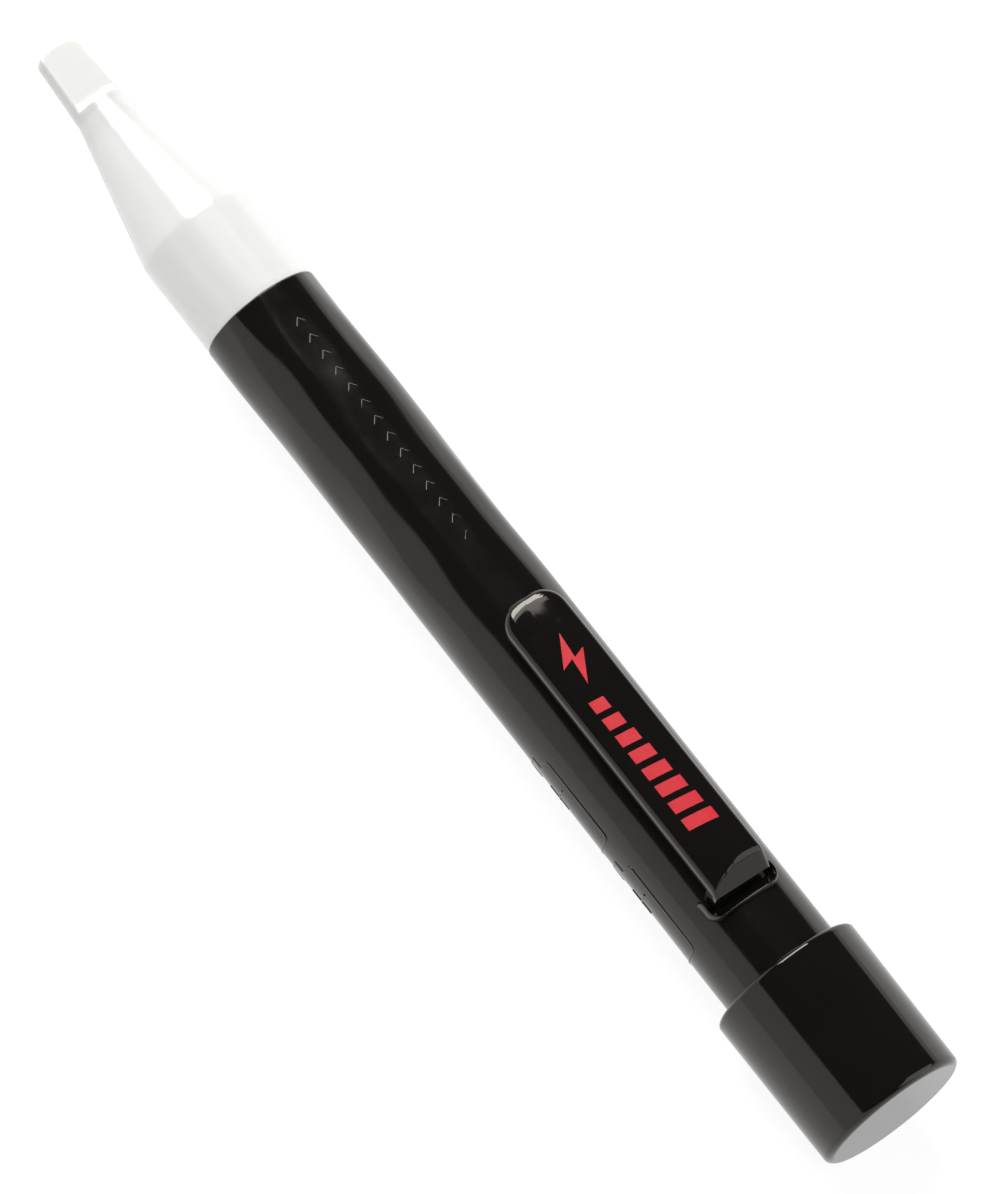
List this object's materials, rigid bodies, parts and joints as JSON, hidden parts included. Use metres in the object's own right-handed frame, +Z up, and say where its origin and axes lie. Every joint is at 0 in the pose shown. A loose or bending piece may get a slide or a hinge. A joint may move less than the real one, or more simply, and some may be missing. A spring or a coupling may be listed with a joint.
{
  "type": "non contact voltage tester",
  "caption": "Pen-shaped non-contact voltage tester with a translucent chisel tip, black barrel, pocket clip and screw-off end cap over its cells.",
  "frame": {"origin": "on the surface that the tester lies on, under the middle of its length and under its axis", "axes": "+X runs along the pen from the tip to the end cap, +Z points up through the pocket clip, +Y runs across the pen"},
  "size_m": [0.1688, 0.0202, 0.0223],
  "materials": {
    "gloss_black_abs": "glossy moulded black ABS",
    "milky_polycarbonate": "milky translucent moulded polycarbonate, satin",
    "black_nitrile_rubber": "matt moulded nitrile rubber",
    "green_laminate": "green solder mask over glass-epoxy laminate",
    "black_moulding_resin": "matt black moulding resin",
    "ceramic_body": "glazed ceramic chip",
    "rolled_brass": "rolled brass strip",
    "nickel_plated_steel": "nickel-plated spring steel",
    "aluminium_can": "drawn aluminium can",
    "cell_sleeve": "printed shrink sleeve over a cell can, plain",
    "red_epoxy_lens": "tinted clear epoxy lens",
    "red_pad_print_ink": "satin red pad-printed ink, for marks printed on the clip"
  },
  "bodies": {
    "barrel_unit": {"barrel": "gloss_black_abs", "sensor_tip": "milky_polycarbonate", "seal_ring": "black_nitrile_rubber", "circuit_board": "green_laminate", "contact_carrier": "black_moulding_resin", "sensor_antenna": "rolled_brass", "tip_led": "red_epoxy_lens", "led_anode_lead": "nickel_plated_steel", "led_cathode_lead": "nickel_plated_steel", "buzzer": "black_moulding_resin", "control_chip": "black_moulding_resin", "amplifier_transistor": "black_moulding_resin", "filter_capacitor": "aluminium_can", "resistor_1": "ceramic_body", "resistor_2": "ceramic_body", "resistor_3": "ceramic_body", "positive_contact": "nickel_plated_steel", "front_cell": "cell_sleeve", "rear_cell": "cell_sleeve", "ground_strip": "rolled_brass"},
    "spring_unit": {"battery_spring": "nickel_plated_steel", "spring_contact_cup": "nickel_plated_steel"},
    "cap": {"end_cap": "gloss_black_abs"},
    "clip": {"pocket_clip": "gloss_black_abs"}
  },
  "joints": [
    {"name": "cap_travel", "type": "slide", "parent": "barrel_unit", "child": "spring_unit", "axis": [1, 0, 0], "range_m": [0, 0.01426]},
    {"name": "cap_turn", "type": "hinge", "parent": "spring_unit", "child": "cap", "pos_m": [0.0736, 0, 0.0101], "axis": [1, 0, 0], "range_deg": [0, 1710]},
    {"name": "clip_flex", "type": "hinge", "parent": "barrel_unit", "child": "clip", "pos_m": [0.0511, 0, 0.0186], "axis": [0, 1, 0], "range_deg": [0, 4], "stiffness_Nm_per_rad": 0.5}
  ],
  "couplings": [
    {"joint": "cap_travel", "follows": "cap_turn", "m_per_rad": 0.00047746}
  ]
}
